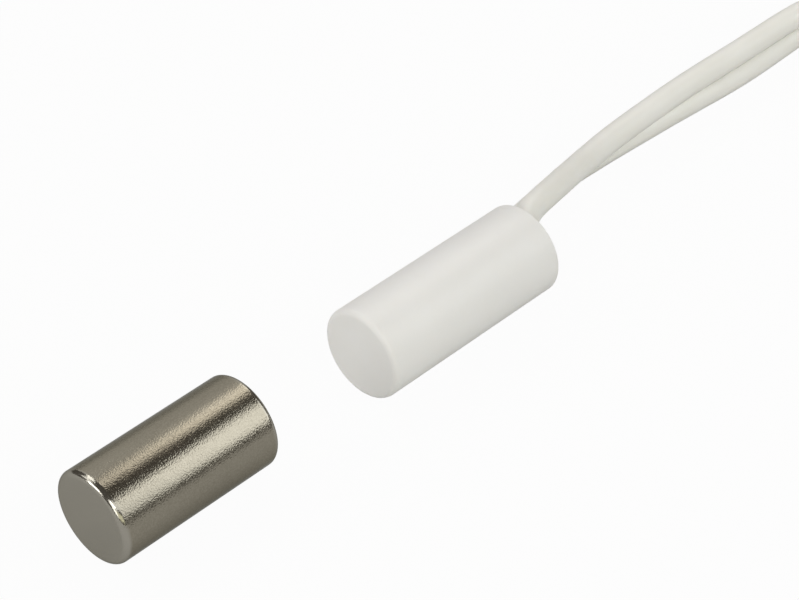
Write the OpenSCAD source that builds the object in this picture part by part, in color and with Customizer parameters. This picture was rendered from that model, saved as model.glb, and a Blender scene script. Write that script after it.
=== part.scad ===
// Recessed magnetic contact, in millimetres: a reed switch set in resin inside a plain moulded barrel with
// two single leads, and the bare plated magnet that works it. Both lie on their sides as a pair laid out on
// a surface. +X runs from the magnet to the leads, +Z is up, and the origin is on the surface under the
// middle of the two.

/* [Switch barrel] */
// Diameter of the barrel, a press fit in a drilled hole
barrel_d = 6.35; // [6:0.05:10]
// Length of the barrel
barrel_len = 15; // [14:0.5:30]
// Wall of the barrel
barrel_wall = 0.55; // [0.4:0.05:0.8]
// Thickness of the closed nose
nose_wall = 0.8; // [0.5:0.1:1.2]
// Radius on the edge of the nose
nose_round = 0.4; // [0.05:0.05:0.5]
// Radius on the rim of the open end
rim_round = 0.15; // [0.05:0.05:0.25]
// Radius in the closed end of the bore
bore_round = 0.4; // [0.1:0.1:0.8]
// Depth of the resin below the rim
resin_recess = 0.3; // [0:0.1:0.6]

/* [Magnet] */
// Diameter of the magnet, for the same drill as the barrel
magnet_d = 6.35; // [5:0.05:10]
// Length of the magnet
magnet_len = 12.3; // [6:0.1:25]
// Radius on both edges of the magnet
magnet_round = 0.4; // [0.1:0.05:0.8]

/* [Layout] */
// Gap between the nose and the magnet as the pair lies
rest_gap = 9.3; // [1:0.1:20]
// How far the magnet lies beside the line of the barrel
side_step = 0.9; // [0:0.1:3]

/* [Reed capsule] */
// Length of the glass
glass_len = 8; // [7:0.1:9]
// Diameter of the glass
glass_d = 1.8; // [1.6:0.05:2]
// Wall of the glass
glass_wall = 0.3; // [0.25:0.05:0.35]
// Length of glass melted round the wire at each end
seal_len = 1.1; // [0.8:0.1:1.5]
// Diameter of the reed wire outside the glass
reed_wire_d = 0.4; // [0.3:0.05:0.5]
// Width of each flattened blade
blade_w = 0.8; // [0.5:0.05:0.85]
// Width of a blade's neck, beside its seal
blade_neck_w = 0.5; // [0.3:0.05:0.6]
// Length of a blade's neck
blade_neck_len = 0.7; // [0.4:0.1:1]
// Thickness of each blade
blade_t = 0.16; // [0.1:0.02:0.24]
// Length over which the two blades face each other
blade_overlap = 0.8; // [0.4:0.1:1.2]
// Gap between the blades while the contact is open
contact_gap = 0.1; // [0.05:0.01:0.14]

/* [Splices] */
// Resin between the nose and the fold of the front reed wire
fold_cover = 0.3; // [0.2:0.1:0.6]
// Straight wire between the glass and its fold
fold_straight = 0.2; // [0.1:0.1:0.6]
// Diameter of the sleeve on the folded-back wire
sleeve_d = 0.9; // [0.7:0.05:1.1]
// Diameter of a soldered splice
splice_d = 1.15; // [1:0.05:1.4]
// Length of a soldered splice
splice_len = 1.4; // [1:0.1:1.8]
// Reed wire between the glass and its splice
splice_reach = 0.6; // [0.3:0.1:1]
// Bare strands between the splice and the insulation
bare_len = 0.4; // [0.2:0.1:0.8]

/* [Leads] */
// Diameter over the insulation of each lead
lead_d = 1.8; // [1.6:0.05:2]
// Diameter of the stranded core
core_d = 0.76; // [0.6:0.02:0.9]
// Space between the two leads where they leave the resin
pair_gap = 0.1; // [0.05:0.05:0.2]
// Turn of the pair about the barrel's axis, in degrees
pair_turn = 40; // [0:5:45]
// Resin left between the pair and the bore
resin_min = 0.1; // [0.05:0.05:0.3]
// Length of the stripped and tinned ends
tip_len = 5; // [3:0.5:6]

/* [Hank] */
// Length of the hank's straight runs
run_len = 32.3; // [27:0.1:36]
// Radius of the inner lead's bends at its middle
bend_r = 4; // [3.7:0.1:4.5]
// Turns that lie on each other
layers = 3; // [2:1:4]
// Space between neighbouring turns, and between the two leads
turn_gap = 0.05; // [0.02:0.01:0.1]
// Width of the tie's band
tie_w = 2.5; // [1.5:0.5:4]
// Thickness of the tie's band
tie_t = 0.3; // [0.2:0.05:0.4]

/* [Hidden] */

// Gap between pieces that are bonded or melted together
fit_gap = 0.02;
// Gap that is left between the blades when they are closed
touch_gap = 0.01;
// Radius in the corners of the glass's hollow
hollow_round = 0.1;
// Overlap that joins two shapes of one piece
weld = 0.1;
// How much thinner the fold of the front reed wire is than the wire, and how far it laps into the straight
// wire, in degrees, so that their surfaces cross cleanly
fold_slim = 0.01;
fold_lap = 4;
// Straight lead outside the rim before its first bend
lead_out = 0.3;
// Where the insulation of each lead ends on the last run of the hank, from the start of the runs
upper_end = 3.3;
lower_end = 32.2;
// Length of the near bend over which the leads are still low enough to leave room for a stripped end
end_room = 2.5;
// Length of the tie's twisted ends, and their diameter
twist_len = 6;
twist_d = 0.9;
lead_sides = 8;
$fn = 96;

// Where the pair lies
span = magnet_len + rest_gap + barrel_len;
magnet_x = -span / 2;
nose_x = span / 2 - barrel_len;
rim_x = span / 2;
barrel_y = -side_step / 2;
barrel_z = barrel_d / 2;
bore_r = barrel_d / 2 - barrel_wall;

// Axes of the two leads, which the capsule and the folded-back wire share, to one side of the bore
pair_d = max(lead_d, glass_d);
pair_pitch = pair_d + pair_gap;
pair_shift = sqrt(pow(bore_r - pair_d / 2 - resin_min, 2) - pow(pair_pitch / 2, 2));
pair_mid = pair_shift * [cos(pair_turn), sin(pair_turn)];
pair_half = pair_pitch / 2 * [-sin(pair_turn), cos(pair_turn)];
upper_yz = [barrel_y, barrel_z] + pair_mid + pair_half;
lower_yz = [barrel_y, barrel_z] + pair_mid - pair_half;

// Places along X, from the nose back
fold_x = nose_x + nose_wall + fold_cover + reed_wire_d / 2 + pair_pitch / 2;
glass_x = fold_x + fold_straight;
front_seal_x = glass_x + seal_len;
rear_seal_x = glass_x + glass_len - seal_len;
hollow_len = glass_len - 2 * seal_len;
hollow_r = glass_d / 2 - glass_wall;
splice_x = glass_x + glass_len + splice_reach;
splice_mid_x = splice_x + splice_len / 2;
strip_x = splice_x + splice_len + bare_len;
resin_x = rim_x - resin_recess;
blade_len = (hollow_len + blade_overlap) / 2 - fit_gap;

// The hank: the upper lead on its inner track, the lower lead on its outer one, and their layers
turn_pitch = lead_d + turn_gap;
outer_bend_r = bend_r + turn_pitch;
hank_out_r = outer_bend_r + lead_d / 2;
first_z = tie_t + lead_d / 2;
last_z = first_z + (layers - 1) * turn_pitch;
hank_top = last_z + lead_d / 2;

// The lower lead reaches the hank on this line beside the barrel's axis, and both leads meet its first run at
// this distance from the rim
lane_y = 4.25;
hank_far = 50.4;
hank_x = rim_x + hank_far;
hank_y = barrel_y + lane_y - outer_bend_r;

// Routes of the two leads over the surface, from the foot of the rim's centre
UPPER_ROUTE = [[1.5, 0.92, 4.76], [2.8, 1.31, 4.67], [4.3, 1.71, 4.44], [6.2, 2.28, 4.03], [8.2, 2.93, 3.52],
    [10.6, 3.61, 3.04], [13.2, 4.1, 2.8], [16, 4.35, 2.75], [19, 4.5, 2.75], [22, 4.6, 2.75],
    [25, 4.6, 2.75], [28, 4.55, 2.75], [31, 4.5, 2.8], [34, 4.3, 3], [36, 4.05, 3.06], [37.5, 3.55, 2.93],
    [39, 3, 2.57], [40.5, 2.6, 2.05], [42, 2.4, 1.5], [43.5, 2.4, 1.2]];
LOWER_ROUTE = [[1.5, 2.11, 3.13], [2.8, 2.65, 2.78], [4.3, 3.26, 2.26], [6, 3.92, 1.66], [8, 4.57, 1.15],
    [10.4, 5.12, 0.92], [13, 5.15, 0.9], [15.5, 5.07, 0.9], [18, 4.95, 0.9], [21, 4.8, 0.9], [24, 4.6, 0.9],
    [27, 4.4, 0.9], [30, 4.3, 0.95], [33, 4.25, 1.1], [36, 4.25, 1.2], [40, 4.25, 1.2], [45, 4.25, 1.2]];

// A lead's whole route: out of the resin, along its points and onto its track in the hank
function whole_route(yz, points, track_r) = concat(
    [[strip_x, yz[0], yz[1]], [rim_x + lead_out, yz[0], yz[1]]],
    [for (p = points) p + [rim_x, barrel_y, 0]],
    [[hank_x, hank_y + track_r, first_z]]);

function unit(v) = v / norm(v);
function heading(route, i) = unit(route[min(i + 1, len(route) - 1)] - route[max(i - 1, 0)]);
function ring(centre, along, r, n) = let (
        side = unit(cross(along, [0, 0, 1])),
        rise = cross(side, along))
    [for (k = [0 : n - 1]) centre + r * (cos(360 * k / n) * side + sin(360 * k / n) * rise)];

// A plain tube with n sides along a route
module swept_tube(route, r, n) {
    last = len(route) - 1;
    corners = [for (i = [0 : last]) each ring(route[i], heading(route, i), r, n)];
    walls = [for (i = [0 : last - 1], k = [0 : n - 1]) let (m = (k + 1) % n) each [
        [i * n + k, i * n + m, (i + 1) * n + m],
        [i * n + k, (i + 1) * n + m, (i + 1) * n + k]]];
    start_cap = [for (k = [n - 1 : -1 : 0]) k];
    end_cap = [for (k = [0 : n - 1]) last * n + k];
    polyhedron(corners, concat([start_cap], walls, [end_cap]));
}

// A rod along +X from one place to another, on a lead's axis
module rod(from_x, to_x, yz, r) {
    translate([from_x, yz[0], yz[1]])
        rotate([0, 90, 0])
            cylinder(h = to_x - from_x, r = r);
}

// Half profile of a round bar along Y, from 0 to a length, with its two edges rounded
module bar_profile(r, length, start_round, end_round) {
    difference() {
        square([r, length]);
        translate([r - start_round, 0])
            square(start_round);
        translate([r - end_round, length - end_round])
            square(end_round);
    }
    translate([r - start_round, start_round])
        circle(start_round);
    translate([r - end_round, length - end_round])
        circle(end_round);
}

// A turned shape whose profile runs along its axis, laid along +X
module laid_along_x(from_x, yz) {
    translate([from_x, yz[0], yz[1]])
        rotate([0, 90, 0])
            rotate_extrude()
                children();
}

// The moulded barrel: closed nose, straight bore, open rear
module switch_barrel() {
    color("whitesmoke")
        difference() {
            laid_along_x(nose_x, [barrel_y, barrel_z])
                bar_profile(barrel_d / 2, barrel_len, nose_round, rim_round);
            laid_along_x(nose_x + nose_wall, [barrel_y, barrel_z])
                intersection() {
                    bar_profile(bore_r, barrel_len, bore_round, bore_round);
                    square([bore_r, barrel_len]);
                }
        }
}

// The glass capsule's outside, a tube with domed ends
module glass_outside(grow = 0) {
    dome_r = glass_d / 2 + grow;
    laid_along_x(glass_x, upper_yz)
        intersection() {
            union() {
                translate([0, glass_d / 2])
                    square([dome_r, glass_len - glass_d]);
                translate([0, glass_d / 2])
                    circle(dome_r);
                translate([0, glass_len - glass_d / 2])
                    circle(dome_r);
            }
            translate([0, -grow])
                square([dome_r, glass_len + 2 * grow]);
        }
}

// The sealed hollow in which the blades move
module glass_capsule() {
    color([0.75, 0.88, 0.82, 0.5])
        difference() {
            glass_outside();
            laid_along_x(front_seal_x, upper_yz)
                bar_profile(hollow_r, hollow_len, hollow_round, hollow_round);
            rod(nose_x, rim_x, upper_yz, reed_wire_d / 2 + fit_gap);
        }
}

// The front reed wire: out of its seal, folded over, and back beside the glass to the lower splice
module front_reed_wire_shape(grow = 0) {
    r = reed_wire_d / 2 + grow;
    rod(fold_x, front_seal_x, upper_yz, r);
    rod(fold_x, splice_mid_x - fit_gap, lower_yz, r);
    translate([fold_x, (upper_yz[0] + lower_yz[0]) / 2, (upper_yz[1] + lower_yz[1]) / 2])
        rotate([pair_turn, 0, 0])
            rotate([90, 0, 0])
                rotate([0, 0, 90 - fold_lap])
                    rotate_extrude(angle = 180 + 2 * fold_lap)
                        translate([pair_pitch / 2, 0])
                            circle(r - fold_slim);
}

module front_reed_wire() {
    color("silver")
        front_reed_wire_shape();
}

// The rear reed wire: out of its seal to the upper splice
module rear_reed_wire_shape(grow = 0) {
    rod(rear_seal_x, splice_mid_x - fit_gap, upper_yz, reed_wire_d / 2 + grow);
}

module rear_reed_wire() {
    color("silver")
        rear_reed_wire_shape();
}

// One blade, lying along +X from its seal: a narrow neck and a wider paddle with a round tip
module blade() {
    tip_round = blade_w / 4;
    paddle_len = blade_len - blade_neck_len;
    linear_extrude(blade_t) {
        translate([0, -blade_neck_w / 2])
            square([blade_neck_len, blade_neck_w]);
        translate([blade_neck_len, -blade_w / 2])
            square([paddle_len - tip_round, blade_w]);
        translate([blade_neck_len, -blade_w / 2 + tip_round])
            square([paddle_len, blade_w - 2 * tip_round]);
        for (side = [-1, 1])
            translate([blade_len - tip_round, side * (blade_w / 2 - tip_round)])
                circle(tip_round);
    }
}

// The blade of the front wire lies above the contact gap
module front_blade() {
    color("gainsboro")
        translate([front_seal_x + fit_gap, upper_yz[0], upper_yz[1] + contact_gap / 2])
            blade();
}

// The blade of the rear wire lies below it, and points the other way
module rear_blade() {
    color("gainsboro")
        translate([rear_seal_x - fit_gap, upper_yz[0], upper_yz[1] - contact_gap / 2])
            rotate([0, 180, 0])
                blade();
}

// The insulating sleeve on the folded-back wire, beside the glass
module return_sleeve_outside(grow = 0) {
    rod(fold_x + fold_straight - grow, splice_x - fit_gap, lower_yz, sleeve_d / 2 + grow);
}

module return_sleeve() {
    color("khaki")
        difference() {
            return_sleeve_outside();
            rod(nose_x, rim_x, lower_yz, reed_wire_d / 2 + fit_gap);
        }
}

// A soldered splice: a round-ended body over the end of a reed wire and the strands of a lead
module splice_outside(yz, grow = 0) {
    laid_along_x(splice_x - grow, yz)
        bar_profile(splice_d / 2 + grow, splice_len + 2 * grow, splice_d / 4, splice_d / 4);
}

module splice(yz) {
    difference() {
        splice_outside(yz);
        rod(nose_x, splice_mid_x + weld, yz, reed_wire_d / 2 + fit_gap);
        rod(splice_mid_x - fit_gap, rim_x, yz, core_d / 2 + fit_gap);
    }
}

module upper_splice() {
    color("lightgray")
        splice(upper_yz);
}

module lower_splice() {
    color("lightgray")
        splice(lower_yz);
}

// The tinned strands of a lead, between its splice and its insulation
module core_shape(yz, grow = 0) {
    rod(splice_mid_x, strip_x, yz, core_d / 2 + grow);
}

module upper_core() {
    color("tan")
        core_shape(upper_yz);
}

module lower_core() {
    color("tan")
        core_shape(lower_yz);
}

// The resin that fills the bore round the capsule, the splices and the ends of the leads
module resin_fill() {
    color("ivory")
        difference() {
            laid_along_x(nose_x + nose_wall + fit_gap, [barrel_y, barrel_z])
                intersection() {
                    bar_profile(bore_r - fit_gap, barrel_len, bore_round, bore_round);
                    square([bore_r, resin_x - nose_x - nose_wall - fit_gap]);
                }
            glass_outside(fit_gap);
            front_reed_wire_shape(fit_gap);
            rear_reed_wire_shape(fit_gap);
            return_sleeve_outside(fit_gap);
            for (yz = [upper_yz, lower_yz]) {
                splice_outside(yz, fit_gap);
                core_shape(yz, fit_gap);
                rod(strip_x - fit_gap, rim_x, yz, lead_d / 2 + fit_gap);
            }
        }
}

// The two leads, from the resin to the hank
module upper_lead() {
    color("white")
        swept_tube(whole_route(upper_yz, UPPER_ROUTE, bend_r), lead_d / 2, lead_sides);
}

module lower_lead() {
    color("white")
        swept_tube(whole_route(lower_yz, LOWER_ROUTE, outer_bend_r), lead_d / 2, lead_sides);
}

// Outline with round ends round both bends of the hank
module oblong(r) {
    translate([0, -r])
        square([run_len, 2 * r]);
    for (x = [0, run_len])
        translate([x, 0])
            circle(r);
}

// One lead's turns in the hank. They climb a layer at the near bend, over both leads as those come in, and the
// last run ends short of the next bend.
module hank(track_r, end_x) {
    thick = layers * turn_pitch - turn_gap;
    reach = 2 * hank_out_r;
    lead_r = lead_d / 2;
    translate([hank_x, hank_y, tie_t])
        difference() {
            linear_extrude(thick)
                difference() {
                    oblong(track_r + lead_r);
                    oblong(track_r - lead_r);
                }
            translate([-reach, bend_r - lead_r - turn_gap, -weld])
                cube([reach, reach, turn_pitch - turn_gap / 2 + weld]);
            translate([-end_room, -track_r - lead_d, thick - turn_pitch + turn_gap / 2])
                cube([end_x + end_room, track_r + lead_d, turn_pitch]);
        }
}

module upper_hank() {
    color("white")
        hank(bend_r, upper_end);
}

module lower_hank() {
    color("white")
        hank(outer_bend_r, lower_end);
}

// The stripped, twisted and tinned end of a lead, on the last run of its turns
module tip(track_r, end_x) {
    rod(hank_x + end_x - tip_len, hank_x + end_x, [hank_y - track_r, last_z], core_d / 2);
}

module upper_tip() {
    color("silver")
        tip(bend_r, upper_end);
}

module lower_tip() {
    color("silver")
        tip(outer_bend_r, lower_end);
}

// A rectangle with round corners, from one corner to the other
module round_rectangle(low, high, r) {
    translate(low + [r, 0])
        square([high[0] - low[0] - 2 * r, high[1] - low[1]]);
    translate(low + [0, r])
        square([high[0] - low[0], high[1] - low[1] - 2 * r]);
    for (x = [low[0] + r, high[0] - r], y = [low[1] + r, high[1] - r])
        translate([x, y])
            circle(r);
}

// The tie: a band round all the turns at the middle of the runs, with its two ends twisted together on top
module hank_tie() {
    side = hank_out_r + turn_gap;
    top = hank_top + turn_gap;
    twist_yz = [outer_bend_r - turn_pitch / 2, top + tie_t + twist_d / 2 - weld];
    color("gainsboro")
        translate([hank_x + run_len / 2, hank_y, 0]) {
            translate([tie_w / 2, 0, 0])
                rotate([90, 0, -90])
                    linear_extrude(tie_w)
                        difference() {
                            round_rectangle([-side - tie_t, 0], [side + tie_t, top + tie_t], tie_t);
                            translate([-side, tie_t])
                                square([2 * side, top - tie_t]);
                        }
            rod(-weld, twist_len, twist_yz, twist_d / 2);
        }
}

// The magnet: a plated cylinder with rounded edges
module magnet() {
    color("silver")
        laid_along_x(magnet_x, [side_step / 2, magnet_d / 2])
            bar_profile(magnet_d / 2, magnet_len, magnet_round, magnet_round);
}

switch_barrel();
resin_fill();
glass_capsule();
front_reed_wire();
rear_reed_wire();
front_blade();
rear_blade();
return_sleeve();
upper_splice();
lower_splice();
upper_core();
lower_core();
upper_lead();
lower_lead();
upper_hank();
lower_hank();
upper_tip();
lower_tip();
hank_tie();
magnet();
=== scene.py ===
import math

import bmesh
import bpy
from mathutils import Matrix, Vector


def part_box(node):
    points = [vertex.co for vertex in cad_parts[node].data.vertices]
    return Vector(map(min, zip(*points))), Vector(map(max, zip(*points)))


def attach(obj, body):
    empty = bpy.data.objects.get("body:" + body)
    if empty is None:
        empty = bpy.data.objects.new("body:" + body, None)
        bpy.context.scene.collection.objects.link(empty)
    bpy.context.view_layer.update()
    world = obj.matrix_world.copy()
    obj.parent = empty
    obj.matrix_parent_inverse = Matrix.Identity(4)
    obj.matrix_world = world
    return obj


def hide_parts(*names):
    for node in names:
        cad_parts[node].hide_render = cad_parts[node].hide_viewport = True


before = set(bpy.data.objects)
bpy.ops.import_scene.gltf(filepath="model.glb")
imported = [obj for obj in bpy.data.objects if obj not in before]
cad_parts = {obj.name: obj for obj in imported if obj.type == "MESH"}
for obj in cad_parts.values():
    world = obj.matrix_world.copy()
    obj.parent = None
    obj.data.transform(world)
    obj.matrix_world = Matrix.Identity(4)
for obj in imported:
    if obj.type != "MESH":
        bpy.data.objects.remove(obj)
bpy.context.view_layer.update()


# Glass capsule of the reed switch.
# A short tube of slightly green glass, melted shut round one wire at each end while it is filled with dry
# gas. It lies bedded in the resin, so its own solid stays, with drawn, faintly rippled glass.
def add_node(owner, kind, inputs=None, **settings):
    """A shader node with its settings, and with its inputs set or linked."""
    node = owner.node_tree.nodes.new(kind)
    for name, value in settings.items():
        setattr(node, name, value)
    for name, value in (inputs or {}).items():
        if isinstance(value, bpy.types.NodeSocket):
            owner.node_tree.links.new(value, node.inputs[name])
        else:
            node.inputs[name].default_value = value
    return node


def plain_finish(name, **surface):
    """A new material with its Principled shader, whose sockets are named with _ for a space."""
    finish = bpy.data.materials.new(name)
    finish.use_nodes = True
    shader = finish.node_tree.nodes["Principled BSDF"]
    for socket, value in surface.items():
        shader.inputs[socket.replace("_", " ")].default_value = value
    return finish, shader


def link(finish, source, target):
    """Joins two sockets of a finish."""
    finish.node_tree.links.new(source, target)


def object_place(finish, stretch=(1, 1, 1), turn=(0, 0, 0)):
    """The place on the piece, stretched and turned to lay a pattern along it."""
    place = add_node(finish, "ShaderNodeTexCoord")
    return add_node(finish, "ShaderNodeMapping", {
        "Vector": place.outputs["Object"], "Scale": stretch, "Rotation": turn,
    }).outputs["Vector"]


def grain(finish, size, stretch=(1, 1, 1), detail=2.0, roughness=0.5):
    """Soft random grain whose lumps are about this size, in metres."""
    return add_node(finish, "ShaderNodeTexNoise", {
        "Vector": object_place(finish, stretch), "Scale": 1 / size, "Detail": detail, "Roughness": roughness,
    }).outputs["Fac"]


def relief(finish, shader, height, depth):
    """Small relief on the surface, this deep in metres."""
    bump = add_node(finish, "ShaderNodeBump", {"Height": height, "Distance": depth})
    link(finish, bump.outputs["Normal"], shader.inputs["Normal"])


def give_finish(node, finish):
    """Puts a finish on a piece, in place of any it has."""
    node.data.materials.clear()
    node.data.materials.append(finish)


glass_finish, shader = plain_finish(
    "drawn_glass", Base_Color=(0.8, 0.93, 0.87, 1), Roughness=0.02, IOR=1.52, Transmission_Weight=1.0)
ripple = grain(glass_finish, size=0.0006, stretch=(0.3, 1, 1))
relief(glass_finish, shader, ripple, depth=0.000004)
give_finish(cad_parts["glass_capsule"], glass_finish)


# Reed blades.
# Each is the end of its nickel-iron wire, pressed flat to bend easily, with a hard plated contact at its tip.
# They face each other across a narrow gap and close it when a magnet comes near.
def spread(finish, value, low, high, from_low=0.3, from_high=0.7):
    """The same value, spread between two others."""
    return add_node(finish, "ShaderNodeMapRange", {
        "Value": value, "From Min": from_low, "From Max": from_high, "To Min": low, "To Max": high,
    }, interpolation_type="SMOOTHSTEP").outputs["Result"]


def patches(finish, size, **kind):
    """Grain with more contrast, spread from 0 to 1."""
    return spread(finish, grain(finish, size, **kind), 0, 1)


def blend_colours(finish, share, first, second):
    """One colour or the other, by share."""
    mix = add_node(finish, "ShaderNodeMix", {0: share}, data_type="RGBA")
    for socket, colour in ((mix.inputs[6], first), (mix.inputs[7], second)):
        if isinstance(colour, bpy.types.NodeSocket):
            link(finish, colour, socket)
        else:
            socket.default_value = (*colour, 1)
    return mix.outputs[2]


def colour_by(finish, shader, share, first, second):
    """Colours the surface with one colour or the other, by share."""
    link(finish, blend_colours(finish, share, first, second), shader.inputs["Base Color"])


def roughen_by(finish, shader, value, low, high, **values_from):
    """Roughens the surface by a value, spread between two others."""
    link(finish, spread(finish, value, low, high, **values_from), shader.inputs["Roughness"])


def reed_metal(name, bare_x, plated_x):
    """Pressed nickel-iron, bare up to one place along the switch and plated from another."""
    finish, shader = plain_finish(name, Metallic=1.0, Roughness=0.3)
    place = add_node(finish, "ShaderNodeSeparateXYZ", {"Vector": object_place(finish)})
    plated = spread(finish, place.outputs["X"], 0, 1, from_low=bare_x, from_high=plated_x)
    brushed = patches(finish, size=0.00006, stretch=(0.1, 1, 1))
    bare = blend_colours(finish, brushed, (0.62, 0.6, 0.56), (0.74, 0.72, 0.68))
    colour_by(finish, shader, plated, bare, (0.82, 0.81, 0.78))
    roughen_by(finish, shader, plated, 0.34, 0.16, from_low=0, from_high=1)
    relief(finish, shader, brushed, depth=0.000001)
    return finish


blade_overlap = 0.0008
plating_edge = 0.00005
bare_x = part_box("front_blade")[1].x - blade_overlap
front_metal = reed_metal("front_reed_metal", bare_x, bare_x + plating_edge)
give_finish(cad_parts["front_blade"], front_metal)
bare_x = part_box("rear_blade")[0].x + blade_overlap
rear_metal = reed_metal("rear_reed_metal", bare_x, bare_x - plating_edge)
give_finish(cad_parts["rear_blade"], rear_metal)


# Reed wires outside the glass.
# Round nickel-iron wire, tinned for soldering. The front one is folded over and comes back beside the glass,
# so that both ends meet the leads at the open end of the barrel.
wire_finish, shader = plain_finish("tinned_reed_wire", Metallic=1.0)
drawn = grain(wire_finish, size=0.00008, stretch=(0.15, 1, 1), detail=3)
colour_by(wire_finish, shader, spread(wire_finish, drawn, 0, 1), (0.66, 0.66, 0.65), (0.78, 0.78, 0.76))
roughen_by(wire_finish, shader, drawn, 0.2, 0.42)
relief(wire_finish, shader, drawn, depth=0.000003)
for wire in ("front_reed_wire", "rear_reed_wire"):
    give_finish(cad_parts[wire], wire_finish)


# Sleeve on the folded-back wire.
# Varnished woven glass yarn, which keeps that wire off the other one. It is cut from a long tube and pushed
# on. Its yarns cross at a slant, one way over the other.
def stripes(finish, width, turn=0.0, distortion=0.0, detail=2.0):
    """Stripes this wide in metres, one after another along the piece, turned by this angle about Z."""
    wave_repeat = 0.314
    return add_node(finish, "ShaderNodeTexWave", {
        "Vector": object_place(finish, turn=(0, 0, turn)), "Scale": wave_repeat / width,
        "Distortion": distortion, "Detail": detail,
    }, bands_direction="X").outputs["Fac"]


def compute(finish, operation, *values):
    """The result of one operation on values or sockets."""
    return add_node(finish, "ShaderNodeMath", dict(enumerate(values)), operation=operation).outputs[0]


sleeve_finish, shader = plain_finish("varnished_weave", Roughness=0.6, Coat_Weight=0.25, Coat_Roughness=0.3)
yarn_w = 0.00012
yarn_slant = math.radians(35)
one_way = stripes(sleeve_finish, yarn_w, turn=yarn_slant, distortion=0.6, detail=1.0)
other_way = stripes(sleeve_finish, yarn_w, turn=-yarn_slant, distortion=0.6, detail=1.0)
weave = compute(sleeve_finish, "MAXIMUM", one_way, other_way)
colour_by(sleeve_finish, shader, weave, (0.52, 0.45, 0.27), (0.78, 0.71, 0.5))
relief(sleeve_finish, shader, weave, depth=0.00002)
give_finish(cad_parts["return_sleeve"], sleeve_finish)


# Soldered splices.
# Solder that has flowed round the end of a reed wire and the strands of a lead, smooth with a few dull
# patches.
solder_finish, shader = plain_finish("flowed_solder", Metallic=1.0)
flow = grain(solder_finish, size=0.0005, detail=3)
colour_by(solder_finish, shader, spread(solder_finish, flow, 0, 1), (0.55, 0.56, 0.57), (0.72, 0.72, 0.72))
roughen_by(solder_finish, shader, flow, 0.16, 0.4)
relief(solder_finish, shader, flow, depth=0.00003)
for splice in ("upper_splice", "lower_splice"):
    give_finish(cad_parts[splice], solder_finish)


# Bare strands between each splice and its insulation.
# Seven tinned copper strands, twisted. Here the twist is relief on the round bundle, which the resin hides.
strand_d = 0.00025
strand_lay = math.radians(24)
strand_finish, shader = plain_finish("tinned_strands", Metallic=1.0, Roughness=0.32)
turns = stripes(strand_finish, strand_d, turn=math.radians(90) - strand_lay, distortion=0.2)
colour_by(strand_finish, shader, turns, (0.42, 0.37, 0.32), (0.8, 0.79, 0.76))
relief(strand_finish, shader, turns, depth=0.00006)
for core in ("upper_core", "lower_core"):
    give_finish(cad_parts[core], strand_finish)


# Barrel.
# One white moulding with a closed nose and an open rear, a press fit in a drilled hole. Its surface is satin,
# with the fine grain of the mould. The photo shows its nose a little further out than the solid's.
def start_piece(add, name, **place):
    """Adds a primitive and puts its place into its mesh, so that the mesh is in the frame of the model."""
    bpy.ops.object.select_all(action="DESELECT")
    add(**place)
    piece = bpy.context.object
    piece.name = name
    bpy.ops.object.transform_apply(location=True, rotation=True, scale=True)
    return piece


def lying_cylinder(name, axis, radius, start_x, end_x, steps):
    """A cylinder along X between two places, on an axis that is given by its y and z."""
    return start_piece(
        bpy.ops.mesh.primitive_cylinder_add, name, vertices=steps, radius=radius, depth=end_x - start_x,
        location=((start_x + end_x) / 2, *axis), rotation=(0, math.pi / 2, 0))


def take_up(piece):
    """Selects just this piece and makes it the active one."""
    bpy.ops.object.select_all(action="DESELECT")
    piece.select_set(True)
    bpy.context.view_layer.objects.active = piece


def edit(piece, kind):
    """Opens one piece to edit its faces or its edges, with nothing selected."""
    take_up(piece)
    bpy.ops.object.mode_set(mode="EDIT")
    bpy.ops.mesh.select_mode(type=kind)
    bpy.ops.mesh.select_all(action="DESELECT")


def end_edit():
    """Goes back to object mode."""
    bpy.ops.object.mode_set(mode="OBJECT")


def pick(parts, wanted):
    """Selects just the wanted parts of a mesh, after all of them are let go, because they share corners."""
    for part in parts:
        part.select_set(False)
    for part in parts:
        if wanted(part):
            part.select_set(True)


def pick_faces(piece, wanted):
    """Selects just the faces whose middle and normal are wanted."""
    mesh = bmesh.from_edit_mesh(piece.data)
    pick(mesh.faces, lambda face: wanted(face.calc_center_median(), face.normal))
    bmesh.update_edit_mesh(piece.data)


def pick_edges(piece, wanted):
    """Selects just the edges whose two ends are wanted."""
    mesh = bmesh.from_edit_mesh(piece.data)
    pick(mesh.edges, lambda edge: wanted(edge.verts[0].co, edge.verts[1].co))
    bmesh.update_edit_mesh(piece.data)


def round_edge(piece, axis, place_x, radius, edge_r, steps):
    """Rounds the circular edge of this radius at one place along its axis."""
    def on_edge(corner):
        from_axis = math.hypot(corner.y - axis[0], corner.z - axis[1])
        return abs(corner.x - place_x) < near and abs(from_axis - radius) < near

    edit(piece, "EDGE")
    pick_edges(piece, lambda start, end: on_edge(start) and on_edge(end))
    bpy.ops.mesh.bevel(offset=edge_r, offset_type="OFFSET", segments=steps, affect="EDGES", profile=0.5)
    end_edit()


def frame_cap(piece, place_x, width):
    """Cuts a narrow flat ring inside an end face, so that the face is shaded flat."""
    edit(piece, "FACE")
    pick_faces(piece, lambda middle, normal: abs(middle.x - place_x) < near and abs(normal.x) > 0.9999)
    bpy.ops.mesh.inset(thickness=width)
    end_edit()


def smooth(piece, angle=40):
    """Shades a piece smooth over edges of up to this angle, in degrees."""
    take_up(piece)
    bpy.ops.object.shade_smooth_by_angle(angle=math.radians(angle))


def hand_over(piece, finish, body, slot, *nodes):
    """The finished piece gets its finish, moves with its body and stands for its nodes."""
    give_finish(piece, finish)
    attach(piece, body)
    if nodes:
        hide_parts(*nodes)


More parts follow.
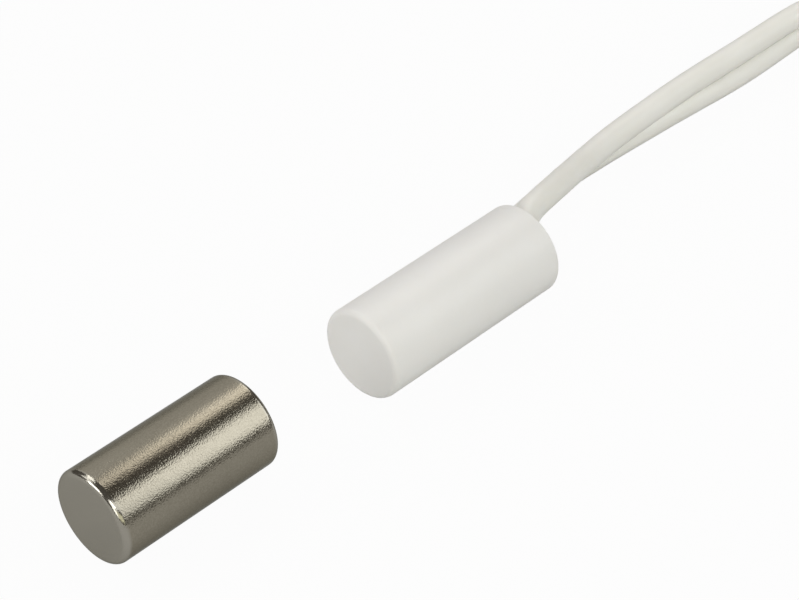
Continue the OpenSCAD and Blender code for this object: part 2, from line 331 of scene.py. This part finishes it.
near = 0.00002
round_steps = 192
barrel_low, barrel_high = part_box("switch_barrel")
nose_out = 0.00023
nose_x = barrel_low.x - nose_out
rim_x = barrel_high.x
barrel_y = (barrel_low.y + barrel_high.y) / 2
barrel_z = (barrel_low.z + barrel_high.z) / 2
barrel_axis = (barrel_y, barrel_z)
barrel_r = (barrel_high.z - barrel_low.z) / 2
barrel_wall = 0.00055
nose_wall = 0.0008 + nose_out
nose_round = 0.0004
rim_round = 0.00015
cap_ring = 0.00012
bore_r = barrel_r - barrel_wall

barrel = lying_cylinder("moulded_barrel", barrel_axis, barrel_r, nose_x, rim_x, round_steps)
edit(barrel, "FACE")
pick_faces(barrel, lambda middle, normal: normal.x > 0.99)
bpy.ops.mesh.inset(thickness=barrel_wall)
bpy.ops.mesh.extrude_region_move(TRANSFORM_OT_translate={"value": (nose_x + nose_wall - rim_x, 0, 0)})
end_edit()
round_edge(barrel, barrel_axis, nose_x, barrel_r, nose_round, steps=8)
round_edge(barrel, barrel_axis, rim_x, barrel_r, rim_round, steps=5)
round_edge(barrel, barrel_axis, rim_x, bore_r, rim_round, steps=5)
round_edge(barrel, barrel_axis, nose_x + nose_wall, bore_r, nose_round, steps=5)
frame_cap(barrel, nose_x, cap_ring)
smooth(barrel)

barrel_finish, shader = plain_finish(
    "satin_moulding", Roughness=0.42, IOR=1.53, Subsurface_Weight=0.12, Subsurface_Scale=0.0006,
    Subsurface_Radius=(1.0, 0.85, 0.7))
cloud = patches(barrel_finish, size=0.0035, detail=3)
colour_by(barrel_finish, shader, cloud, (0.794, 0.789, 0.768), (0.806, 0.802, 0.783))
mould_grain = grain(barrel_finish, size=0.00009, detail=3, roughness=0.6)
roughen_by(barrel_finish, shader, mould_grain, 0.36, 0.52)
relief(barrel_finish, shader, mould_grain, depth=0.0000018)
hand_over(barrel, barrel_finish, "switch", "barrel_plastic", "switch_barrel")


# Resin.
# Poured in round the capsule and the splices from the open end, where it sets with a slightly sunken face.
# Its solid stays, and this skin over that face shows how the resin has crept up the wall.
resin_finish, shader = plain_finish(
    "set_resin", Roughness=0.28, IOR=1.55, Subsurface_Weight=0.15, Subsurface_Scale=0.0005,
    Subsurface_Radius=(1.0, 0.8, 0.5))
set_cloud = patches(resin_finish, size=0.0012, detail=4)
colour_by(resin_finish, shader, set_cloud, (0.7, 0.67, 0.59), (0.8, 0.775, 0.7))
bubbles_a_metre = 3200.0
bubbles = add_node(resin_finish, "ShaderNodeTexVoronoi", {
    "Vector": object_place(resin_finish), "Scale": bubbles_a_metre})
pits = spread(resin_finish, bubbles.outputs["Distance"], 0, 1, from_low=0.05, from_high=0.25)
relief(resin_finish, shader, pits, depth=0.00001)
give_finish(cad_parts["resin_fill"], resin_finish)

resin_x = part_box("resin_fill")[1].x
creep_up = 0.0002
creep_out = 0.00035
creep_rings = 4
flat_ring = 0.0006
skin_x = resin_x + creep_up / 8
skin = lying_cylinder("resin_skin", barrel_axis, bore_r, skin_x - creep_up / 2, skin_x, steps=96)
edit(skin, "FACE")
pick_faces(skin, lambda middle, normal: normal.x > 0.99)
for ring in range(creep_rings):
    bpy.ops.mesh.inset(thickness=creep_out / creep_rings)
bpy.ops.mesh.inset(thickness=flat_ring)
end_edit()
for corner in skin.data.vertices:
    from_wall = bore_r - math.hypot(corner.co.y - barrel_y, corner.co.z - barrel_z)
    if corner.co.x > resin_x and from_wall < creep_out:
        corner.co.x += creep_up * (1 - from_wall / creep_out) ** 2
smooth(skin)
hand_over(skin, resin_finish, "switch", "resin")


# Leads.
# Two single stranded wires in soft white insulation. They leave the resin side by side, come down to the
# surface and run out together, and the rest of their 305 mm is folded into one hank of three layers.
def heading(angle):
    """The level direction at this angle from X."""
    return Vector((math.cos(angle), math.sin(angle), 0))


def lead_line(exit_yz, route, track_r, end_x):
    """Centreline of one lead: out of the resin, over its route, and round its track in the hank."""
    line = [Vector((strip_x, *exit_yz)), Vector((rim_x + lead_out, *exit_yz))]
    line += [Vector(point) + Vector((rim_x, barrel_y, 0)) for point in route]
    for layer in range(layers):
        z = first_z + layer * turn_pitch
        is_last = layer == layers - 1
        for step in range(run_steps + 1):
            line.append(Vector((hank_x + run_len * step / run_steps, hank_y + track_r, z)))
        for step in range(1, bend_steps):
            out = heading(math.pi / 2 - math.pi * step / bend_steps)
            line.append(Vector((hank_x + run_len, hank_y, z)) + track_r * out)
        back_len = run_len - end_x if is_last else run_len
        for step in range(run_steps + 1):
            line.append(Vector((hank_x + run_len - back_len * step / run_steps, hank_y - track_r, z)))
        if is_last:
            return line
        for step in range(1, bend_steps):
            share = step / bend_steps
            climb = turn_pitch * share * share * (3 - 2 * share)
            out = heading(-math.pi / 2 - math.pi * share)
            line.append(Vector((hank_x, hank_y, z + climb)) + track_r * out)


def wire_along(name, line):
    """A round wire on a smooth curve through these points."""
    curve = bpy.data.curves.new(name, "CURVE")
    curve.dimensions = "3D"
    curve.bevel_depth = lead_d / 2
    curve.bevel_resolution = 7
    curve.resolution_u = 4
    curve.use_fill_caps = True
    spline = curve.splines.new("BEZIER")
    spline.bezier_points.add(len(line) - 1)
    for knot, point in zip(spline.bezier_points, line):
        knot.co = point
        knot.handle_left_type = knot.handle_right_type = "AUTO"
    wire = bpy.data.objects.new(name, curve)
    bpy.context.scene.collection.objects.link(wire)
    return wire


lead_d = 0.0018
lead_out = 0.0003
strip_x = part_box("upper_core")[1].x
turn_gap = 0.00005
turn_pitch = lead_d + turn_gap
bend_r = 0.004
outer_bend_r = bend_r + turn_pitch
run_len = 0.0323
run_steps = 12
bend_steps = 12
layers = 3
lane_y = 0.00425
hank_far = 0.0504
hank_x = rim_x + hank_far
hank_y = barrel_y + lane_y - outer_bend_r
tie_t = 0.0003
first_z = tie_t + lead_d / 2

upper_core_low, upper_core_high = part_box("upper_core")
lower_core_low, lower_core_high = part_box("lower_core")
upper_yz = ((upper_core_low.y + upper_core_high.y) / 2, (upper_core_low.z + upper_core_high.z) / 2)
lower_yz = ((lower_core_low.y + lower_core_high.y) / 2, (lower_core_low.z + lower_core_high.z) / 2)
upper_end_x = 0.0033
lower_end_x = 0.0322

# Each place on a route is measured from the rim, across from the barrel's axis, and up from the surface.
upper_route = [
    (0.0015, 0.00092, 0.00476), (0.0028, 0.00131, 0.00467), (0.0043, 0.00171, 0.00444),
    (0.0062, 0.00228, 0.00403), (0.0082, 0.00293, 0.00352), (0.0106, 0.00361, 0.00304),
    (0.0132, 0.0041, 0.0028), (0.016, 0.00435, 0.00275), (0.019, 0.0045, 0.00275),
    (0.022, 0.0046, 0.00275), (0.025, 0.0046, 0.00275), (0.028, 0.00455, 0.00275),
    (0.031, 0.0045, 0.0028), (0.034, 0.0043, 0.003), (0.036, 0.00405, 0.00306),
    (0.0375, 0.00355, 0.00293), (0.039, 0.003, 0.00257), (0.0405, 0.0026, 0.00205),
    (0.042, 0.0024, 0.0015), (0.0435, 0.0024, 0.0012), (0.0465, 0.0024, 0.0012),
]
lower_route = [
    (0.0015, 0.00211, 0.00313), (0.0028, 0.00265, 0.00278), (0.0043, 0.00326, 0.00226),
    (0.006, 0.00392, 0.00166), (0.008, 0.00457, 0.00115), (0.0104, 0.00512, 0.00092),
    (0.013, 0.00515, 0.0009), (0.0155, 0.00507, 0.0009), (0.018, 0.00495, 0.0009),
    (0.021, 0.0048, 0.0009), (0.024, 0.0046, 0.0009), (0.027, 0.0044, 0.0009),
    (0.03, 0.0043, 0.00095), (0.033, 0.00425, 0.0011), (0.036, 0.00425, 0.0012),
    (0.04, 0.00425, 0.0012), (0.045, 0.00425, 0.0012),
]
upper_line = lead_line(upper_yz, upper_route, bend_r, upper_end_x)
lower_line = lead_line(lower_yz, lower_route, outer_bend_r, lower_end_x)

insulation, shader = plain_finish(
    "soft_insulation", Roughness=0.38, IOR=1.53, Subsurface_Weight=0.12, Subsurface_Scale=0.0004,
    Subsurface_Radius=(1.0, 0.85, 0.65))
warmth = patches(insulation, size=0.004, detail=3)
colour_by(insulation, shader, warmth, (0.787, 0.781, 0.733), (0.807, 0.802, 0.761))
skin_grain = grain(insulation, size=0.00012, detail=3, roughness=0.6)
roughen_by(insulation, shader, skin_grain, 0.3, 0.5)
relief(insulation, shader, skin_grain, depth=0.0000025)

upper_wire = wire_along("upper_wire", upper_line)
lower_wire = wire_along("lower_wire", lower_line)
hand_over(upper_wire, insulation, "switch", "lead_insulation", "upper_lead", "upper_hank")
hand_over(lower_wire, insulation, "switch", "lead_insulation", "lower_lead", "lower_hank")


# Where the leads leave the resin.
# The resin has crept a little way up round each of them and set there as a small hollow fillet.
def lead_fillet(name, exit_yz):
    """A ring round one lead that thins out in a hollow curve as it climbs."""
    lead_r = lead_d / 2
    fillet = start_piece(
        bpy.ops.mesh.primitive_cone_add, name, vertices=64, radius1=lead_r + creep_out, radius2=lead_r,
        depth=creep_up, location=(resin_x + creep_up / 2, *exit_yz), rotation=(0, math.pi / 2, 0))
    edit(fillet, "EDGE")
    pick_edges(fillet, lambda start, end: abs(start.x - end.x) > creep_up / 2)
    bpy.ops.mesh.subdivide(number_cuts=creep_rings)
    end_edit()
    for corner in fillet.data.vertices:
        share = (corner.co.x - resin_x) / creep_up
        wanted_r = lead_r + creep_out * (1 - share) ** 2
        out = Vector((0, corner.co.y - exit_yz[0], corner.co.z - exit_yz[1]))
        if out.length > lead_r / 2:
            corner.co += out.normalized() * (wanted_r - out.length)
    smooth(fillet, 60)
    hand_over(fillet, resin_finish, "switch", "resin")


lead_fillet("upper_lead_fillet", upper_yz)
lead_fillet("lower_lead_fillet", lower_yz)


# Stripped ends.
# The last 5 mm of each lead is bare: seven strands, twisted and tinned, ready to be clamped.
def twist_piece(piece, angle):
    """Twists the active piece about its Z axis, by this angle in all."""
    twist = piece.modifiers.new("twist", "SIMPLE_DEFORM")
    twist.deform_method = "TWIST"
    twist.deform_axis = "Z"
    twist.angle = angle
    bpy.ops.object.modifier_apply(modifier=twist.name)


def straight_strand(length):
    """One strand along Z, cut across often enough to be twisted, with its upper end rounded."""
    strand = start_piece(
        bpy.ops.mesh.primitive_cylinder_add, "strand", vertices=14, radius=strand_d / 2, depth=length)
    edit(strand, "EDGE")
    pick_edges(strand, lambda start, end: abs(start.z - end.z) > tip_len / 2)
    bpy.ops.mesh.subdivide(number_cuts=strand_cuts)
    pick_edges(strand, lambda start, end: min(start.z, end.z) > length / 2 - end_near)
    bpy.ops.mesh.bevel(offset=strand_d / 4, segments=3, affect="EDGES")
    end_edit()
    return strand


def shifted_copy(piece, shift):
    """A copy of a piece with its own mesh, moved by this much."""
    copy = piece.copy()
    copy.data = piece.data.copy()
    copy.data.transform(Matrix.Translation(shift))
    bpy.context.scene.collection.objects.link(copy)
    return copy


def stripped_end(name, node, line):
    """Six strands round a seventh, from the end of a lead straight on."""
    end = straight_strand(tip_len + tip_in)
    end.name = name
    outer_strands = [
        shifted_copy(end, strand_d * heading(math.radians(60 * index))) for index in range(1, 7)]
    take_up(end)
    for strand in outer_strands:
        strand.select_set(True)
    bpy.ops.object.join()
    twist_piece(end, strand_turn)
    along = (line[-1] - line[-2]).normalized()
    to_place = Matrix.Translation(line[-1] + along * (tip_len - tip_in) / 2)
    end.data.transform(to_place @ along.to_track_quat("Z", "Y").to_matrix().to_4x4())
    smooth(end, 50)
    hand_over(end, end_finish, "switch", "tinned_copper", node)
    return end


tip_len = 0.005
tip_in = 0.0005
strand_cuts = 48
strand_turn = math.radians(620)
end_near = 0.000001
end_finish, shader = plain_finish("tinned_ends", Metallic=1.0)
tinning = grain(end_finish, size=0.0002, detail=3)
colour_by(end_finish, shader, spread(end_finish, tinning, 0, 1), (0.6, 0.59, 0.57), (0.78, 0.77, 0.75))
roughen_by(end_finish, shader, tinning, 0.2, 0.42)
relief(end_finish, shader, tinning, depth=0.00001)
upper_end = stripped_end("upper_stripped_end", "upper_tip", upper_line)
lower_end = stripped_end("lower_stripped_end", "lower_tip", lower_line)


# Tie.
# A flat plastic-covered wire, 2.5 mm wide, passed round all the runs and twisted together on top. The band
# is a box without its ends, given a wall, and the twisted part is a strip that lies on it.
tie_low, tie_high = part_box("hank_tie")
tie_w = 0.0025
tie_x = hank_x + run_len / 2
twist_len = 0.006
twist_d = 0.0009
twist_w = twist_d * 0.98
twist_t = twist_d * 0.42
twist_round = twist_d * 0.12
twist_cuts = 60
twist_turn = math.radians(1080)
twist_sunk = 0.0001
band_top = tie_high.z - twist_d + twist_sunk
band_round = lead_d / 2

tie = start_piece(
    bpy.ops.mesh.primitive_cube_add, "twist_tie", size=1,
    location=(tie_x, (tie_low.y + tie_high.y) / 2, band_top / 2),
    scale=(tie_w, tie_high.y - tie_low.y, band_top))
edit(tie, "FACE")
pick_faces(tie, lambda middle, normal: abs(normal.x) > 0.99)
bpy.ops.mesh.delete(type="FACE")
bpy.ops.mesh.select_mode(type="EDGE")
pick_edges(tie, lambda start, end: abs(start.x - end.x) > tie_w / 2)
bpy.ops.mesh.bevel(offset=band_round, segments=8, affect="EDGES")
end_edit()
wall = tie.modifiers.new("wall", "SOLIDIFY")
wall.thickness = tie_t
wall.offset = -1
bpy.ops.object.modifier_apply(modifier=wall.name)
edges = tie.modifiers.new("edges", "BEVEL")
edges.width = tie_t / 4
edges.segments = 3
edges.limit_method = "ANGLE"
edges.angle_limit = math.radians(60)
bpy.ops.object.modifier_apply(modifier=edges.name)

twisted = start_piece(
    bpy.ops.mesh.primitive_cube_add, "twisted_strip", size=1, scale=(twist_w, twist_t, twist_len))
edit(twisted, "EDGE")
pick_edges(twisted, lambda start, end: abs(start.z - end.z) > twist_len / 2)
bpy.ops.mesh.bevel(offset=twist_round, segments=3, affect="EDGES")
pick_edges(twisted, lambda start, end: abs(start.z - end.z) > twist_len / 2)
bpy.ops.mesh.subdivide(number_cuts=twist_cuts)
end_edit()
twist_piece(twisted, twist_turn)
twisted.rotation_euler = (0, math.pi / 2, 0)
twisted.location = (
    tie_x + twist_len / 2 - twist_sunk, hank_y + outer_bend_r - turn_pitch / 2,
    band_top + twist_d / 2 - twist_sunk)
bpy.ops.object.transform_apply(location=True, rotation=True, scale=True)
tie.select_set(True)
bpy.context.view_layer.objects.active = tie
bpy.ops.object.join()
smooth(tie, 35)

tie_finish, shader = plain_finish(
    "tie_plastic", Roughness=0.45, IOR=1.5, Subsurface_Weight=0.05, Subsurface_Scale=0.0003)
tie_shade = patches(tie_finish, size=0.0009, detail=3)
colour_by(tie_finish, shader, tie_shade, (0.74, 0.74, 0.72), (0.8, 0.8, 0.785))
rib_w = 0.0005
relief(tie_finish, shader, stripes(tie_finish, rib_w), depth=0.00002)
hand_over(tie, tie_finish, "switch", "tie_plastic", "hank_tie")


# Magnet.
# A sintered cylinder, tumbled to round its edges and then plated with nickel, which keeps the fine
# orange-peel grain of the metal under it. Its ends and edges are smoother than its side, and they are
# painted paler, a painted highlight that makes them reflect brighter.
magnet_low, magnet_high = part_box("magnet")
magnet_axis = ((magnet_low.y + magnet_high.y) / 2, (magnet_low.z + magnet_high.z) / 2)
magnet_r = (magnet_high.z - magnet_low.z) / 2
magnet_x = (magnet_low.x + magnet_high.x) / 2
half_length = (magnet_high.x - magnet_low.x) / 2
magnet_round = 0.0004
magnet = lying_cylinder("plated_magnet", magnet_axis, magnet_r, magnet_low.x, magnet_high.x, round_steps)
for end_x in (magnet_low.x, magnet_high.x):
    round_edge(magnet, magnet_axis, end_x, magnet_r, magnet_round, steps=12)
    frame_cap(magnet, end_x, cap_ring)
smooth(magnet)

highlight_and_smooth_from = half_length - 0.0005
highlight_and_smooth_to = half_length - 0.0002
side_relief = 0.000016
end_relief = 0.000004
nickel, shader = plain_finish("nickel_plating", Metallic=1.0, Specular_Tint=(0.5, 0.5, 0.48, 1))
stain = patches(nickel, size=0.003, detail=4)
stained = blend_colours(nickel, stain, (0.266, 0.244, 0.194), (0.282, 0.26, 0.208))
speck = patches(nickel, size=0.00011, detail=1)
side_colour = blend_colours(nickel, speck, stained, (0.31, 0.286, 0.231))
place = add_node(nickel, "ShaderNodeSeparateXYZ", {"Vector": object_place(nickel)})
from_middle = compute(nickel, "ABSOLUTE", compute(nickel, "SUBTRACT", place.outputs["X"], magnet_x))
# Painted highlight: the rounded edges and end faces get a paler colour than the side, so that they look
# brighter.
ends_smooth_and_painted_highlight = spread(nickel, from_middle, 0, 1, from_low=highlight_and_smooth_from, from_high=highlight_and_smooth_to)
colour_by(nickel, shader, ends_smooth_and_painted_highlight, side_colour, (0.385, 0.367, 0.317))
peel = grain(nickel, size=0.0001, detail=1.5, roughness=0.6)
roughen_by(nickel, shader, peel, 0.1, 0.2)
peel_depth = spread(nickel, ends_smooth_and_painted_highlight, side_relief, end_relief, from_low=0, from_high=1)
relief(nickel, shader, peel, depth=peel_depth)
hand_over(magnet, nickel, "magnet", "magnet_nickel", "magnet")


# Surface.
# A wide white sheet under the pair. Seen straight it is white, in the metal it is dimmer, and it keeps a soft
# shadow.
seen_level = 0.96
metal_level = 0.33
floor = start_piece(bpy.ops.mesh.primitive_plane_add, "white_sheet", size=6)
paper, shader = plain_finish(
    "white_paper", Roughness=0.9, Base_Color=(0.55, 0.55, 0.55, 1), Specular_IOR_Level=0.0)
path = add_node(paper, "ShaderNodeLightPath").outputs
straight = compute(paper, "MAXIMUM", path["Is Camera Ray"], path["Is Transmission Ray"])
straight = compute(paper, "MULTIPLY", straight, seen_level)
in_metal = compute(paper, "MULTIPLY", path["Is Glossy Ray"], metal_level)
lit = compute(paper, "MAXIMUM", straight, in_metal)
white = add_node(paper, "ShaderNodeEmission", {"Color": (1, 1, 1, 1), "Strength": 1.0})
both = add_node(paper, "ShaderNodeMixShader", {0: lit, 1: shader.outputs[0], 2: white.outputs[0]})
link(paper, both.outputs[0], paper.node_tree.nodes["Material Output"].inputs["Surface"])
give_finish(floor, paper)


# Lamps.
# Flat soft lamps round the pair. Two rows lie along it, one in front and one over the back, and the dim room
# between them is the dark line on the magnet. Lamps at the left end light the faces that look that way, and
# two low ones the undersides.
def soft_lamp(name, direction, distance, tall, wide, radiance, tint=(1, 1, 1)):
    """A flat lamp in one direction from the middle of the pair, turned to face it."""
    lamp = bpy.data.lights.new(name, "AREA")
    lamp.shape = "RECTANGLE"
    lamp.size = tall
    lamp.size_y = wide
    lamp.energy = radiance * math.pi * tall * wide
    lamp.color = tint
    holder = bpy.data.objects.new(name, lamp)
    bpy.context.scene.collection.objects.link(holder)
    towards = Vector(direction).normalized()
    holder.location = lit_middle + distance * towards
    holder.rotation_euler = towards.to_track_quat("Z", "X").to_euler()
    holder.visible_camera = False


lit_middle = Vector((-0.005, 0, 0.0032))
warm = (1, 0.95, 0.88)
soft_lamp("main_lamp", (0.556, -0.648, 0.522), 0.3, 0.208, 0.276, 1.38, (0.97, 1, 1.02))
soft_lamp("main_lamp_middle", (0.556, -0.656, 0.512), 0.29, 0.2, 0.14, 0.84)
soft_lamp("main_lamp_left", (-0.17, -0.685, 0.705), 0.4, 0.16, 0.27, 1.5)
soft_lamp("main_lamp_end", (-0.62, -0.5, 0.6), 0.4, 0.08, 0.14, 5.75)
soft_lamp("left_lamp", (-0.85, -0.4, 0.34), 0.4, 0.2, 0.14, 2.9)
soft_lamp("back_lamp", (0.556, 0.265, 0.788), 0.3, 0.2, 0.155, 0.33, warm)
soft_lamp("back_lamp_middle", (0.556, 0.25, 0.793), 0.29, 0.2, 0.085, 1.33, warm)
soft_lamp("back_lamp_left", (-0.1, 0.57, 0.81), 0.4, 0.15, 0.25, 2.5)
soft_lamp("back_lamp_end", (-0.55, 0.63, 0.55), 0.4, 0.16, 0.16, 1.7)
soft_lamp("left_back_lamp", (-0.88, 0.4, 0.26), 0.4, 0.16, 0.16, 4.8)
soft_lamp("low_back_lamp", (0.556, 0.66, 0.506), 0.35, 0.35, 0.35, 0.65)
soft_lamp("low_front_lamp", (-0.434, -0.86, 0.267), 0.4, 0.13, 0.44, 1.15, (1, 0.99, 0.75))

sky = bpy.data.worlds.new("dim_room")
bpy.context.scene.world = sky
sky.use_nodes = True
room = sky.node_tree.nodes["Background"]
room.inputs["Color"].default_value = (0.134, 0.124, 0.112, 1)
room.inputs["Strength"].default_value = 1.0


# Camera.
# It looks down on the pair from in front of the magnet, to the left of the line of the pair.
camera_data = bpy.data.cameras.new("camera")
camera_data.sensor_width = 36
camera_data.lens = 118.5
camera_data.clip_start = 0.001
camera_data.clip_end = 20
camera = bpy.data.objects.new("camera", camera_data)
bpy.context.scene.collection.objects.link(camera)
camera.location = (-0.08505, -0.08939, 0.11013)
camera_aim = Vector((0.01152, 0.00431, 0))
camera.rotation_euler = (camera_aim - camera.location).to_track_quat("-Z", "Y").to_euler()
bpy.context.scene.camera = camera

view = bpy.context.scene.view_settings
view.view_transform = "Standard"
